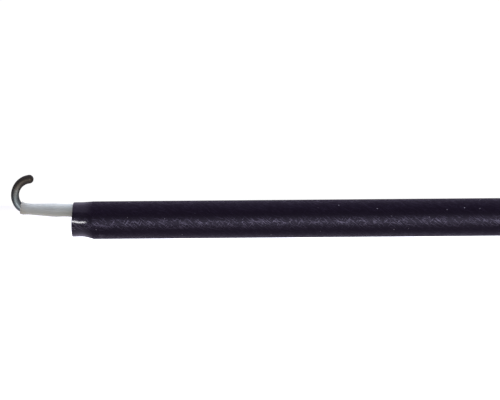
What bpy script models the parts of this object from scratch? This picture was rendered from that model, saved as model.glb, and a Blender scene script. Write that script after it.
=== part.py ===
"""Insulated hook electrode: a bare J-shaped hook on a sleeved rod, set off-centre in a long shrink-insulated
shaft, with a flat moulded grip and a 4 mm connector pin.

Frame: metres, +Z up. The origin is the centre of the grip's flat underside. +X runs back to the connector pin,
-X forward to the hook, and the hook curls upwards.
"""

import math

import bpy
import bmesh
from mathutils import Vector

MM = 0.001
FULL_TURN = 2 * math.pi
FACETS = 40  # sides of every turned piece, so that nested pieces have facets that line up
SHARP_ANGLE = math.radians(35)
RUN_CLEARANCE = 0.02 * MM  # radial gap between two pieces that touch

# Shaft: a steel tube in a shrunk-on insulating sleeve, 5 mm over all
SHAFT_RADIUS = 2.5 * MM
INSULATION_WALL = 0.16 * MM
TUBE_WALL = 0.18 * MM
TUBE_RADIUS = SHAFT_RADIUS - INSULATION_WALL - 0.015 * MM
TUBE_BORE = TUBE_RADIUS - TUBE_WALL

# Neck: the insulation runs past the tube's end and grips a smaller plug, which lies against one side
NECK_RADIUS = 2.29 * MM
NECK_OFFSET = 0.12 * MM
NECK_LENGTH = 2.65 * MM
NECK_STRAIGHT = 1.0 * MM
FLARE_POWER = 1.6  # the neck widens ever faster up to the tube's edge
FLARE_STEPS = 6
MOUTH_LIP = 0.05 * MM

# Rod and hook
WIRE_RADIUS = 0.56 * MM
WIRE_FACETS = 16
TIP_DOME = ((0.42, 0.90), (0.72, 0.66), (0.90, 0.35))  # (distance ahead, share of the wire's radius)
SLEEVE_RADIUS = 0.86 * MM
SLEEVE_WAIST = 0.72 * MM
SLEEVE_BORE = WIRE_RADIUS + RUN_CLEARANCE
ROD_OFFSET = 1.20 * MM  # of the rod from the shaft's axis, inside the tube
ROD_RISE = math.radians(2.5)  # the rod leans outwards from the tube's end on
SHANK_LENGTH = 6.42 * MM  # from the mouth to the heel's bend
HEEL_RADIUS = 1.15 * MM
HEEL_TURN = math.radians(46)
CROOK_RADIUS = 2.11 * MM
CROOK_TURN = math.radians(126)
SPACERS = 3
SPACER_LENGTH = 5 * MM
SLEEVE_ON_HEEL = math.radians(26)  # how far round the heel the sleeve reaches

# Grip: a flat-sided moulding that shows the user which way the hook points
GRIP_LENGTH = 56 * MM
GRIP_THICKNESS = 10 * MM
GRIP_STATIONS = ((-28, 4.9), (-23, 5.9), (-15, 6.4), (-6, 6.7), (6, 7.0), (16, 6.7), (23, 6.0), (28, 5.2))
GRIP_EDGE = 2.2 * MM
FRONT_BORE = 3.9 * MM
MIDDLE_BORE = 3.0 * MM
REAR_BORE = 4.1 * MM
GROOVES = 6
GROOVES_CENTRE = -9.5 * MM
GROOVE_PITCH = 2.4 * MM
GROOVE_RADIUS = 1.0 * MM
GROOVE_DEPTH = 0.5 * MM

AXIS_HEIGHT = GRIP_THICKNESS / 2
ROD_HEIGHT = AXIS_HEIGHT + ROD_OFFSET
WORKING_LENGTH = 130 * MM  # from the front collar to the hook's far side
HEEL_SLOPE = math.sin(ROD_RISE + HEEL_TURN)
HOOK_REACH = (
    SHANK_LENGTH + HEEL_RADIUS * (HEEL_SLOPE - math.sin(ROD_RISE)) + CROOK_RADIUS * (1 - HEEL_SLOPE) + WIRE_RADIUS
)  # from the mouth to the hook's far side
COLLAR_LENGTH = 10 * MM

# Stations along X
GRIP_FRONT = -GRIP_LENGTH / 2
GRIP_REAR = GRIP_LENGTH / 2
COLLAR_FRONT = GRIP_FRONT - COLLAR_LENGTH
MOUTH = COLLAR_FRONT - (WORKING_LENGTH - HOOK_REACH)
TUBE_FRONT = MOUTH + NECK_LENGTH
SHOULDER = -16 * MM  # in the grip's bore, where the shaft's ferrule seats
BLOCK_FRONT = 1 * MM
BLOCK_REAR = 19 * MM
WELD = TUBE_FRONT + 5 * MM  # where the hook's shank meets the conductor rod
WIRE_TAIL = 10.8 * MM
PIN_END = 48 * MM

# Finishes: colour, metallic, roughness
FINISHES = {
    "insulation": ((0.012, 0.008, 0.016), 0.0, 0.38),
    "sleeve": ((0.48, 0.50, 0.49), 0.0, 0.35),
    "hook_steel": ((0.16, 0.15, 0.14), 1.0, 0.32),
    "tube_steel": ((0.55, 0.55, 0.55), 1.0, 0.30),
    "brass": ((0.62, 0.45, 0.18), 1.0, 0.35),
    "plated_brass": ((0.66, 0.64, 0.60), 1.0, 0.18),
    "grip_plastic": ((0.018, 0.017, 0.020), 0.0, 0.50),
    "insulator_plastic": ((0.70, 0.66, 0.56), 0.0, 0.50),
    "seal_rubber": ((0.30, 0.05, 0.03), 0.0, 0.60),
    "screw_steel": ((0.40, 0.40, 0.41), 1.0, 0.35),
}


def clear_scene():
    """Removes every object that the file opened with."""
    for obj in list(bpy.data.objects):
        bpy.data.objects.remove(obj, do_unlink=True)


def new_collection(name):
    """A collection linked to the scene."""
    found = bpy.data.collections.new(name)
    bpy.context.scene.collection.children.link(found)
    return found


def make_finishes():
    """One Principled material for each finish."""
    made = {}
    for name, (colour, metallic, roughness) in FINISHES.items():
        finish = bpy.data.materials.new(name)
        finish.use_nodes = True
        shader = finish.node_tree.nodes["Principled BSDF"]
        shader.inputs["Base Color"].default_value = (*colour, 1)
        shader.inputs["Metallic"].default_value = metallic
        shader.inputs["Roughness"].default_value = roughness
        made[name] = finish
    return made


clear_scene()
PARTS = new_collection("hook_electrode_assembly")
CUTTERS = new_collection("cutters")
FINISH = make_finishes()


def add_part(name, data, finish):
    """A named object of the assembly, in its finish."""
    obj = bpy.data.objects.new(name, data)
    data.materials.append(FINISH[finish])
    PARTS.objects.link(obj)
    return obj


def add_cutter(name, data):
    """A helper object that is never drawn or built."""
    obj = bpy.data.objects.new(name, data)
    obj.hide_render = True
    obj.display_type = "WIRE"
    CUTTERS.objects.link(obj)
    return obj


def profile_mesh(name, points, closed):
    """The outline of a turned shape, from (along, radius) points, which Screw turns about local Z."""
    outline = bmesh.new()
    verts = [outline.verts.new((radius, 0, along)) for along, radius in points]
    for first, second in zip(verts, verts[1:]):
        outline.edges.new((first, second))
    if closed:
        outline.edges.new((verts[-1], verts[0]))
    mesh = bpy.data.meshes.new(name)
    outline.to_mesh(mesh)
    outline.free()
    return mesh


def turn(obj, rise=0.0, facets=FACETS):
    """Turns an outline into a solid about a line along X, which is rise above the shaft's axis."""
    screw = obj.modifiers.new("turn", "SCREW")
    screw.axis = "Z"
    screw.angle = FULL_TURN
    screw.steps = screw.render_steps = facets
    screw.use_merge_vertices = True
    screw.merge_threshold = 1e-6
    screw.use_smooth_shade = False
    obj.rotation_euler = (0, math.pi / 2, 0)
    obj.location = (0, 0, AXIS_HEIGHT + rise)
    return obj


def solid_outline(steps):
    """Outline points of a solid turned shape from (along, radius) points given front to back."""
    rear_first = list(reversed(steps))
    return [(rear_first[0][0], 0), *rear_first, (rear_first[-1][0], 0)]


def tube_outline(outer, bore):
    """Outline points of a hollow turned shape, both lines given front to back."""
    return [*reversed(outer), *bore]


def turned_solid(name, steps, finish, rise=0.0):
    """A solid turned piece."""
    return turn(add_part(name, profile_mesh(name, solid_outline(steps), False), finish), rise)


def turned_tube(name, outer, bore, finish):
    """A hollow turned piece."""
    return turn(add_part(name, profile_mesh(name, tube_outline(outer, bore), True), finish))


def turned_cutter(name, steps, rise=0.0, facets=FACETS):
    """A solid turned cutter."""
    return turn(add_cutter(name, profile_mesh(name, solid_outline(steps), False)), rise, facets)


def box_cutter(name, low, high):
    """A box cutter between two corners."""
    block = bmesh.new()
    bmesh.ops.create_cube(block, size=1.0)
    low, high = Vector(low), Vector(high)
    bmesh.ops.scale(block, vec=high - low, verts=block.verts)
    bmesh.ops.translate(block, vec=(low + high) / 2, verts=block.verts)
    mesh = bpy.data.meshes.new(name)
    block.to_mesh(mesh)
    block.free()
    return add_cutter(name, mesh)


def rod_cutter(name, centre, radius, length, axis, facets=24):
    """A cylinder cutter about a line along Y or Z."""
    rod = bmesh.new()
    bmesh.ops.create_cone(rod, cap_ends=True, segments=facets, radius1=radius, radius2=radius, depth=length)
    mesh = bpy.data.meshes.new(name)
    rod.to_mesh(mesh)
    rod.free()
    obj = add_cutter(name, mesh)
    obj.location = centre
    if axis == "Y":
        obj.rotation_euler = (math.pi / 2, 0, 0)
    return obj


def cut(obj, cutter):
    """Takes the cutter's shape out of the object."""
    step = obj.modifiers.new(cutter.name, "BOOLEAN")
    step.operation = "DIFFERENCE"
    step.solver = "EXACT"
    step.object = cutter


def finished_mesh(obj):
    """The object's evaluated mesh, with its loose caps welded."""
    bpy.context.view_layer.update()
    graph = bpy.context.evaluated_depsgraph_get()
    mesh = bpy.data.meshes.new_from_object(obj.evaluated_get(graph))
    tidy = bmesh.new()
    tidy.from_mesh(mesh)
    bmesh.ops.remove_doubles(tidy, verts=tidy.verts, dist=1e-7)
    bmesh.ops.recalc_face_normals(tidy, faces=tidy.faces)
    tidy.to_mesh(mesh)
    tidy.free()
    return mesh


def shade_round(obj):
    """Settles a mesh object's shape and shades its round faces smooth and its edges sharp."""
    mesh = finished_mesh(obj)
    obj.modifiers.clear()
    obj.data = mesh
    mesh.shade_smooth()
    mesh.set_sharp_from_angle(angle=SHARP_ANGLE)


def bent_line(start, heading, steps):
    """Points of a wire bent in the upright plane. Each step is (length, turn, pieces)."""
    points = [Vector(start)]
    for length, turned, pieces in steps:
        for _ in range(pieces):
            heading -= turned / pieces / 2
            run = length / pieces
            if turned:
                run *= math.sin(turned / pieces / 2) / (turned / pieces / 2)
            points.append(points[-1] + run * Vector((math.cos(heading), 0, math.sin(heading))))
            heading -= turned / pieces / 2
    return points


def wire_points(heel_turn, crook_turn=0.0):
    """The wire's centreline from the tube's front end to the given place round the hook, front part last."""
    lead = (NECK_LENGTH + SHANK_LENGTH) / math.cos(ROD_RISE)
    steps = [(lead, 0, 1), (HEEL_RADIUS * heel_turn, heel_turn, 5)]
    if crook_turn:
        steps.append((CROOK_RADIUS * crook_turn, crook_turn, 12))
    return bent_line((TUBE_FRONT, 0, ROD_HEIGHT), math.pi - ROD_RISE, steps)


def wire_curve(name, points, radius, shares, sides):
    """A round wire along the points, whose radius at each point is the given share of radius."""
    curve = bpy.data.curves.new(name, "CURVE")
    curve.dimensions = "3D"
    curve.bevel_depth = radius
    curve.bevel_resolution = sides // 2 - 2
    curve.use_fill_caps = True
    spline = curve.splines.new("POLY")
    spline.points.add(len(points) - 1)
    for slot, place, share in zip(spline.points, points, shares):
        slot.co = (*place, 1)
        slot.radius = share
    return curve


def build_hook():
    """The bare hook, bent from wire, with its shank in the sleeve and a domed tip."""
    front = wire_points(HEEL_TURN, CROOK_TURN)
    heading = (front[-1] - front[-2]).normalized()
    tip = [front[-1] + heading * WIRE_RADIUS * ahead for ahead, _ in TIP_DOME]
    shank_end = Vector((WELD - RUN_CLEARANCE, 0, ROD_HEIGHT))
    points = [shank_end, *front, *tip]
    shares = [1.0] * (len(front) + 1) + [share for _, share in TIP_DOME]
    hook = wire_curve("hook_electrode", points, WIRE_RADIUS, shares, WIRE_FACETS)
    return add_part("hook_electrode", hook, "hook_steel")


def build_conductor():
    """The rod that the hook is butt-welded to, which runs back through the shaft to the contact block."""
    points = [Vector((WELD + RUN_CLEARANCE, 0, ROD_HEIGHT)), Vector((WIRE_TAIL, 0, ROD_HEIGHT))]
    rod = wire_curve("conductor_rod", points, WIRE_RADIUS, (1.0, 1.0), WIRE_FACETS)
    return add_part("conductor_rod", rod, "tube_steel")


def build_sleeve():
    """The pale insulating sleeve, necked a little behind the heel and open at both ends."""
    heel = wire_points(SLEEVE_ON_HEEL)
    rear = Vector((-2 * MM, 0, ROD_HEIGHT))
    tube_end, heel_start = heel[0], heel[1]
    along = [0.42, 0.66, 0.80, 0.92]
    middle = [tube_end.lerp(heel_start, share) for share in along]
    points = [rear, tube_end, *middle, *heel[1:]]
    waist = SLEEVE_WAIST / SLEEVE_RADIUS
    shares = [1.0, 1.0, 1.0, 0.96, 0.90, waist, waist, waist, 0.90, 0.92, 0.93, 0.94]
    outer = wire_curve("sleeve_outer", points, SLEEVE_RADIUS, shares, WIRE_FACETS)
    body = add_part("electrode_sleeve", outer, "sleeve")
    mesh = finished_mesh(body)
    PARTS.objects.unlink(body)
    bpy.data.objects.remove(body)
    sleeve = add_part("electrode_sleeve", mesh, "sleeve")
    longer = [rear + Vector((MM, 0, 0)), *heel, heel[-1] + (heel[-1] - heel[-2])]
    bore = wire_curve("sleeve_bore_line", longer, SLEEVE_BORE, [1.0] * len(longer), WIRE_FACETS)
    line = add_cutter("sleeve_bore_line", bore)
    cutter = add_cutter("sleeve_bore", finished_mesh(line))
    bpy.data.objects.remove(line)
    cut(sleeve, cutter)
    return sleeve


def flare_share(x):
    """How far the neck has widened into the shaft at x, from 0 to 1."""
    start, end = MOUTH + NECK_STRAIGHT, MOUTH + NECK_LENGTH
    return min(max((x - start) / (end - start), 0.0), 1.0) ** FLARE_POWER


def build_insulation():
    """The shrunk-on black insulation: round along the shaft, and smaller and off-centre over the neck."""
    rear = GRIP_FRONT + 6.5 * MM
    run = (NECK_LENGTH - NECK_STRAIGHT) / FLARE_STEPS
    stations = [MOUTH + NECK_STRAIGHT + run * n for n in range(FLARE_STEPS + 1)]
    flare = [(x, NECK_RADIUS + (SHAFT_RADIUS - NECK_RADIUS) * flare_share(x)) for x in stations]
    outer = [(MOUTH, NECK_RADIUS - MOUTH_LIP), (MOUTH + MOUTH_LIP, NECK_RADIUS), *flare, (rear, SHAFT_RADIUS)]
    line = [(MOUTH, NECK_RADIUS), *flare, (rear, SHAFT_RADIUS)]
    bore = [(x, radius - INSULATION_WALL) for x, radius in line]
    straight = turned_tube("insulation_straight", outer, bore, "insulation")
    mesh = finished_mesh(straight)
    place = straight.matrix_world.copy()
    bpy.data.objects.remove(straight)
    mesh.transform(place)
    for vert in mesh.vertices:
        vert.co.z += NECK_OFFSET * (1 - flare_share(vert.co.x))
    return add_part("shaft_insulation", mesh, "insulation")


def slot_for_rod(obj, front, rear):
    """Cuts the groove that the sleeved rod lies in, open at the top."""
    groove = SLEEVE_RADIUS + 1.5 * RUN_CLEARANCE
    label = obj.name
    run = turned_cutter(label + "_groove", [(front, groove), (rear, groove)], ROD_OFFSET)
    cut(obj, run)
    high = (rear, groove, AXIS_HEIGHT + SHAFT_RADIUS + 2 * MM)
    cut(obj, box_cutter(label + "_opening", (front, -groove, ROD_HEIGHT), high))


def build_nose():
    """The front plug: a flange in the neck and a spigot in the tube, both lying against the upper side."""
    flange = NECK_RADIUS - INSULATION_WALL - RUN_CLEARANCE
    spigot = TUBE_BORE - NECK_OFFSET - RUN_CLEARANCE
    front, step, rear = MOUTH + 0.35 * MM, TUBE_FRONT - 0.05 * MM, TUBE_FRONT + 8 * MM
    steps = [(front, flange), (step, flange), (step, spigot), (rear, spigot)]
    nose = turned_solid("nose_insulator", steps, "insulator_plastic", NECK_OFFSET)
    slot_for_rod(nose, front - MM, rear + MM)
    return nose


def build_tube():
    """The steel tube that stiffens the shaft."""
    ends = (TUBE_FRONT, SHOULDER + 2 * MM)
    outer = [(x, TUBE_RADIUS) for x in ends]
    return turned_tube("shaft_tube", outer, [(x, TUBE_BORE) for x in ends], "tube_steel")


def build_ferrule():
    """The brass ferrule crimped on the tube's rear end, which holds it in the grip."""
    front, flange, rear = SHOULDER - 5.2 * MM, SHOULDER - 2 * MM, SHOULDER - 0.05 * MM
    bore = TUBE_RADIUS + RUN_CLEARANCE
    outer = [(front, 3.2 * MM), (flange, 3.2 * MM), (flange, 3.75 * MM), (rear, 3.75 * MM)]
    return turned_tube("shaft_ferrule", outer, [(front, bore), (rear, bore)], "brass")


def build_collar():
    """The screw-in front collar: a tapered nose, a rim with grip flutes and a spigot in the grip's bore."""
    bore, seat = SHAFT_RADIUS + 0.03 * MM, 3.70 * MM
    spigot, end = FRONT_BORE - 0.05 * MM, GRIP_FRONT + 6.4 * MM
    outer = [
        (COLLAR_FRONT, 2.95 * MM),
        (COLLAR_FRONT + 0.4 * MM, 3.25 * MM),
        (COLLAR_FRONT + 4.5 * MM, 3.95 * MM),
        (COLLAR_FRONT + 5.0 * MM, 4.45 * MM),
        (GRIP_FRONT - 0.5 * MM, 4.45 * MM),
        (GRIP_FRONT - 0.05 * MM, 4.15 * MM),
        (GRIP_FRONT - 0.05 * MM, spigot),
        (end, spigot),
    ]
    seat_front = end - 1.4 * MM
    bore_line = [(COLLAR_FRONT, bore), (seat_front, bore), (seat_front, seat), (end, seat)]
    collar = turned_tube("front_collar", outer, bore_line, "grip_plastic")
    flutes = 12
    for n in range(flutes):
        turn_angle = FULL_TURN * (n + 0.5) / flutes
        centre = Vector((GRIP_FRONT - 2.7 * MM, 0, 0))
        flute = rod_cutter(f"collar_flute_{n}", centre, 0.55 * MM, 6 * MM, "Z", 10)
        flute.rotation_euler = (0, math.pi / 2, 0)
        reach = 4.75 * MM
        flute.location.y = reach * math.cos(turn_angle)
        flute.location.z = AXIS_HEIGHT + reach * math.sin(turn_angle)
        cut(collar, flute)
    return collar


def build_ring(name, x, ring_radius, cord_radius):
    """A rubber sealing ring."""
    sides = 10
    section = []
    for n in range(sides):
        angle = FULL_TURN * n / sides
        section.append((x + cord_radius * math.cos(angle), ring_radius + cord_radius * math.sin(angle)))
    obj = add_part(name, profile_mesh(name, section, True), "seal_rubber")
    return turn(obj)


def build_spacers():
    """Three soft spacers that hold the sleeved rod against the tube's upper wall."""
    radius = TUBE_BORE - RUN_CLEARANCE
    for n in range(SPACERS):
        centre = TUBE_FRONT + (SHOULDER - TUBE_FRONT) * (n + 1) / (SPACERS + 1)
        front, rear = centre - SPACER_LENGTH / 2, centre + SPACER_LENGTH / 2
        spacer = turned_solid(f"rod_spacer_{n + 1}", [(front, radius), (rear, radius)], "insulator_plastic")
        slot_for_rod(spacer, front - MM, rear + MM)


def build_end_bush():
    """The bush in the tube's rear end, which keeps the rod off its edge."""
    spigot, flange = TUBE_BORE - RUN_CLEARANCE, MIDDLE_BORE - 0.1 * MM
    front, step, rear = SHOULDER - 2 * MM, SHOULDER + 2.05 * MM, SHOULDER + 3.5 * MM
    steps = [(front, spigot), (step, spigot), (step, flange), (rear, flange)]
    bush = turned_solid("tube_end_bush", steps, "insulator_plastic")
    slot_for_rod(bush, front - MM, rear + MM)
    return bush


def build_grip():
    """The flat moulded grip, with its stepped bore and the grooves for thumb and finger."""
    outline = bpy.data.curves.new("grip_outline", "CURVE")
    outline.dimensions = "2D"
    outline.fill_mode = "BOTH"
    outline.extrude = GRIP_THICKNESS / 2
    spline = outline.splines.new("POLY")
    near = [Vector((x, half, 0)) * MM for x, half in GRIP_STATIONS]
    far = [Vector((x, -half, 0)) * MM for x, half in reversed(GRIP_STATIONS)]
    spline.points.add(len(near + far) - 1)
    for slot, place in zip(spline.points, near + far):
        slot.co = (*place, 1)
    spline.use_cyclic_u = True
    flat = add_part("grip_flat", outline, "grip_plastic")
    mesh = finished_mesh(flat)
    bpy.data.objects.remove(flat)
    plain = bmesh.new()
    plain.from_mesh(mesh)
    bmesh.ops.dissolve_limit(plain, angle_limit=0.001, verts=plain.verts, edges=plain.edges)
    plain.to_mesh(mesh)
    plain.free()
    grip = add_part("grip_body", mesh, "grip_plastic")
    grip.location.z = AXIS_HEIGHT
    edges = grip.modifiers.new("edges", "BEVEL")
    edges.width = GRIP_EDGE
    edges.segments = 4
    edges.limit_method = "ANGLE"
    edges.angle_limit = math.radians(50)
    bore = [
        (GRIP_FRONT - MM, FRONT_BORE),
        (SHOULDER, FRONT_BORE),
        (SHOULDER, MIDDLE_BORE),
        (BLOCK_REAR, MIDDLE_BORE),
        (BLOCK_REAR, REAR_BORE),
        (GRIP_REAR + MM, REAR_BORE),
    ]
    cut(grip, turned_cutter("grip_bore", bore))
    sink = GROOVE_RADIUS - GROOVE_DEPTH
    for n in range(GROOVES):
        x = GROOVES_CENTRE + GROOVE_PITCH * (n - (GROOVES - 1) / 2)
        for side, height in (("lower", -sink), ("upper", GRIP_THICKNESS + sink)):
            groove = rod_cutter(f"groove_{side}_{n}", (x, 0, height), GROOVE_RADIUS, 8.4 * MM, "Y", 12)
            cut(grip, groove)
    return grip


def build_contact_block():
    """The brass block that joins the wire to the pin, with holes for both and for two grub screws."""
    radius = MIDDLE_BORE - 0.1 * MM
    block = turned_solid("contact_block", [(BLOCK_FRONT, radius), (BLOCK_REAR, radius)], "brass")
    hole = WIRE_RADIUS + RUN_CLEARANCE
    wire_hole = [(BLOCK_FRONT - MM, hole), (WIRE_TAIL + 0.3 * MM, hole)]
    cut(block, turned_cutter("block_wire_hole", wire_hole, ROD_OFFSET, WIRE_FACETS))
    cut(block, turned_cutter("block_pin_hole", [(12.5 * MM, 1.5 * MM), (BLOCK_REAR + MM, 1.5 * MM)]))
    return block


def build_wire_screws(block):
    """Two grub screws that clamp the wire from the side away from it."""
    outer_end = -2.7 * MM
    inner_end = ROD_OFFSET - WIRE_RADIUS - RUN_CLEARANCE
    for name, x in (("wire_screw_front", 4 * MM), ("wire_screw_rear", 8 * MM)):
        tapped = rod_cutter(name + "_hole", (x, 0, AXIS_HEIGHT - 2 * MM), 1.0 * MM, 5.6 * MM, "Z")
        cut(block, tapped)
        body = bmesh.new()
        length = inner_end - outer_end
        bmesh.ops.create_cone(body, cap_ends=True, segments=24, radius1=0.97 * MM, radius2=0.97 * MM, depth=length)
        mesh = bpy.data.meshes.new(name)
        body.to_mesh(mesh)
        body.free()
        screw = add_part(name, mesh, "screw_steel")
        screw.location = (x, 0, AXIS_HEIGHT + (outer_end + inner_end) / 2)
        socket = rod_cutter(name + "_socket", (x, 0, AXIS_HEIGHT + outer_end), 0.52 * MM, 2 * MM, "Z", 6)
        cut(screw, socket)


def build_pin():
    """The 4 mm connector pin, with its flange and threaded tail."""
    flange_front, flange_rear = BLOCK_REAR + 0.05 * MM, BLOCK_REAR + 1.6 * MM
    steps = [
        (13 * MM, 1.48 * MM),
        (flange_front, 1.48 * MM),
        (flange_front, 3.6 * MM),
        (flange_rear, 3.6 * MM),
        (flange_rear, 2.0 * MM),
        (PIN_END - 0.7 * MM, 2.0 * MM),
        (PIN_END - 0.2 * MM, 1.75 * MM),
        (PIN_END, 1.35 * MM),
    ]
    return turned_solid("connector_pin", steps, "plated_brass")


def build_rear_cap():
    """The screw-in rear cap, an insulating shroud round the foot of the pin."""
    spigot, bore = REAR_BORE - 0.05 * MM, 2.0 * MM + RUN_CLEARANCE
    front, seal_front, seal_rear = BLOCK_REAR + 1.65 * MM, GRIP_REAR - 1.8 * MM, GRIP_REAR - 1.0 * MM
    outer = [
        (front, spigot),
        (seal_front, spigot),
        (seal_front, 3.42 * MM),
        (seal_rear, 3.42 * MM),
        (seal_rear, spigot),
        (GRIP_REAR + 0.05 * MM, spigot),
        (GRIP_REAR + 0.05 * MM, 4.5 * MM),
        (GRIP_REAR + 0.4 * MM, 4.8 * MM),
        (GRIP_REAR + 2.2 * MM, 4.8 * MM),
        (GRIP_REAR + 2.8 * MM, 4.2 * MM),
        (GRIP_REAR + 4.6 * MM, 3.5 * MM),
        (GRIP_REAR + 5.0 * MM, 3.1 * MM),
    ]
    return turned_tube("rear_cap", outer, [(front, bore), (GRIP_REAR + 5.0 * MM, bore)], "grip_plastic")


def main():
    """Builds every piece, front to back."""
    build_hook()
    build_conductor()
    build_sleeve()
    build_insulation()
    build_nose()
    build_tube()
    build_ferrule()
    build_ring("shaft_seal", GRIP_FRONT + 5.7 * MM, 3.1 * MM, 0.53 * MM)
    build_spacers()
    build_end_bush()
    build_collar()
    build_grip()
    build_wire_screws(build_contact_block())
    build_pin()
    build_rear_cap()
    build_ring("rear_seal", GRIP_REAR - 1.4 * MM, 3.75 * MM, 0.30 * MM)
    for obj in PARTS.objects:
        if obj.type == "MESH":
            shade_round(obj)
    bpy.context.view_layer.update()


main()
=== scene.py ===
"""Looks of the insulated hook electrode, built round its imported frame.

Lengths in the dataclass fields are millimetres. X runs along the shaft, with the hook at the low end,
and Z is up.
"""

import logging
import math
from dataclasses import dataclass
from enum import Enum
from typing import Callable, Optional, Sequence, Union

import bpy
import numpy as np
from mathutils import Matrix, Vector


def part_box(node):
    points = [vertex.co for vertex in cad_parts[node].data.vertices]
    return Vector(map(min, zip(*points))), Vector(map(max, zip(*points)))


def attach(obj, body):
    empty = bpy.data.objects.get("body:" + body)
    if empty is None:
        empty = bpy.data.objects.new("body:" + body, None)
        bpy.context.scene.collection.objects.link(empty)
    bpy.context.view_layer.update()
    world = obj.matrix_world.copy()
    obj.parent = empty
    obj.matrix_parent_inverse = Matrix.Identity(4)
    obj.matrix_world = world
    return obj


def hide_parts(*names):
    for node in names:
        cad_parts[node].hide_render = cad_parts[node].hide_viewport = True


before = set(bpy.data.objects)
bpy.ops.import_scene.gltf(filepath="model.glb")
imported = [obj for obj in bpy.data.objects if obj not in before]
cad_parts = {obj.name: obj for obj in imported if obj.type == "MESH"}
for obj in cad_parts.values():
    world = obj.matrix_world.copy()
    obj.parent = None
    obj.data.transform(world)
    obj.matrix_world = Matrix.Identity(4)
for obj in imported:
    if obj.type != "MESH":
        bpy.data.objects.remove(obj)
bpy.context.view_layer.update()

LOG = logging.getLogger("hook_electrode")
MM = 0.001
FULL_TURN = 2 * math.pi

SHARP_ANGLE = math.radians(40)  # facets that meet at more than this keep a crisp edge
LONGEST_CUT = 0.45  # the share of a side that the rounding of its corner may take
NEAR_AXIS = 0.02  # the radius of a turned end's last ring, whose cap is flat

Point2 = tuple[float, float]
Span = tuple[float, float]
Point3 = tuple[float, float, float]
Wave = tuple[float, int, float]  # its height, how many go round and where they start
Colour = tuple[float, float, float, float]
Socket = bpy.types.NodeSocket
Value = Union[Socket, float, Sequence[float]]


class Ends(Enum):
    """How a lofted surface closes at its first and last ring."""

    CAPPED = "capped"  # a flat face over each end
    JOINED = "joined"  # the last ring runs on into the first, as on a tube with a bore


class Side(Enum):
    """The flat sides of the grip, by the sign of their height."""

    UPPER = 1
    LOWER = -1


class Bounce(Enum):
    """The kinds of reflection that a soft box takes part in."""

    GLOSSY = "glossy"  # only mirrored, as a small bright strip
    DIFFUSE = "diffuse"  # only as soft fill
    BOTH = "both"


# ---- node and colour helpers


def linear(hex_colour: str) -> Colour:
    """Turns an sRGB hex colour into linear values.

    Args:
        hex_colour: Six hex digits, with or without a leading hash.

    Returns:
        Red, green, blue and an alpha of 1.
    """
    digits = hex_colour.lstrip("#")
    values = [int(digits[n : n + 2], 16) / 255 for n in (0, 2, 4)]
    red, green, blue = [v / 12.92 if v <= 0.04045 else ((v + 0.055) / 1.055) ** 2.4 for v in values]
    return (red, green, blue, 1.0)


def fill(tree: bpy.types.NodeTree, node: bpy.types.Node, inputs: dict) -> None:
    """Links sockets to a node's inputs and sets plain values on them.

    Args:
        tree: The node tree that holds the node.
        node: The node.
        inputs: Sockets or plain values by the input's name or number.
    """
    for key, value in inputs.items():
        if isinstance(value, Socket):
            tree.links.new(value, node.inputs[key])
        else:
            node.inputs[key].default_value = value


def add_node(
    tree: bpy.types.NodeTree,
    kind: str,
    inputs: Optional[dict] = None,
    stops: Sequence[tuple[float, str]] = (),
    **settings: object,
) -> bpy.types.Node:
    """Adds a node with its settings and inputs.

    Args:
        tree: The node tree that takes the node.
        kind: Blender's name for the node type.
        inputs: Sockets or plain values by the input's name or number.
        stops: A colour ramp's stops in order, as positions with hex colours.
        settings: Properties of the node itself.

    Returns:
        The new node.
    """
    node = tree.nodes.new(kind)
    for name, value in settings.items():
        setattr(node, name, value)
    fill(tree, node, inputs or {})
    for position, _ in stops[2:]:
        node.color_ramp.elements.new(position)
    for n, (position, colour) in enumerate(stops):
        node.color_ramp.elements[n].position = position
        node.color_ramp.elements[n].color = linear(colour)
    return node


# ---- mesh helpers


def mesh_from_rings(name: str, rings: np.ndarray, ends: Ends) -> bpy.types.Object:
    """Makes a smooth surface through rings of points.

    Args:
        name: The piece's name.
        rings: Points in metres, shaped rings by points by 3, each ring turning the same way.
        ends: Whether the ends are capped or run into each other.

    Returns:
        The new object, linked to the scene.
    """
    count, sides = rings.shape[:2]
    faces = []
    last = count if ends is Ends.JOINED else count - 1
    for ring in range(last):
        near, far = ring * sides, ((ring + 1) % count) * sides
        for n in range(sides):
            m = (n + 1) % sides
            faces.append((near + n, near + m, far + m, far + n))
    if ends is Ends.CAPPED:
        faces.append(tuple(reversed(range(sides))))
        faces.append(tuple(range((count - 1) * sides, count * sides)))
    mesh = bpy.data.meshes.new(name)
    mesh.from_pydata(rings.reshape(-1, 3).tolist(), [], faces)
    mesh.shade_smooth()
    mesh.set_sharp_from_angle(angle=SHARP_ANGLE)
    obj = bpy.data.objects.new(name, mesh)
    bpy.context.scene.collection.objects.link(obj)
    return obj


def rounded(points: Sequence[Point2], radius: float, steps: int = 4) -> list[Point2]:
    """Rounds the corners of a turned outline.

    Args:
        points: (along, radius) corners of the outline, in millimetres.
        radius: The rounding of each corner, made smaller where a side is short.
        steps: Points along each rounding.

    Returns:
        The outline with an arc at each inner corner.
    """
    found = [points[0]]
    for before, corner, after in zip(points, points[1:], points[2:]):
        a, b, c = (np.array(p, float) for p in (before, corner, after))
        back, ahead = a - b, c - b
        reach = min(radius, LONGEST_CUT * np.linalg.norm(back), LONGEST_CUT * np.linalg.norm(ahead))
        start = b + back / np.linalg.norm(back) * reach
        end = b + ahead / np.linalg.norm(ahead) * reach
        for n in range(steps + 1):
            t = n / steps
            place = (1 - t) ** 2 * start + 2 * t * (1 - t) * b + t**2 * end
            found.append((float(place[0]), float(place[1])))
    found.append(points[-1])
    return found


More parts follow.
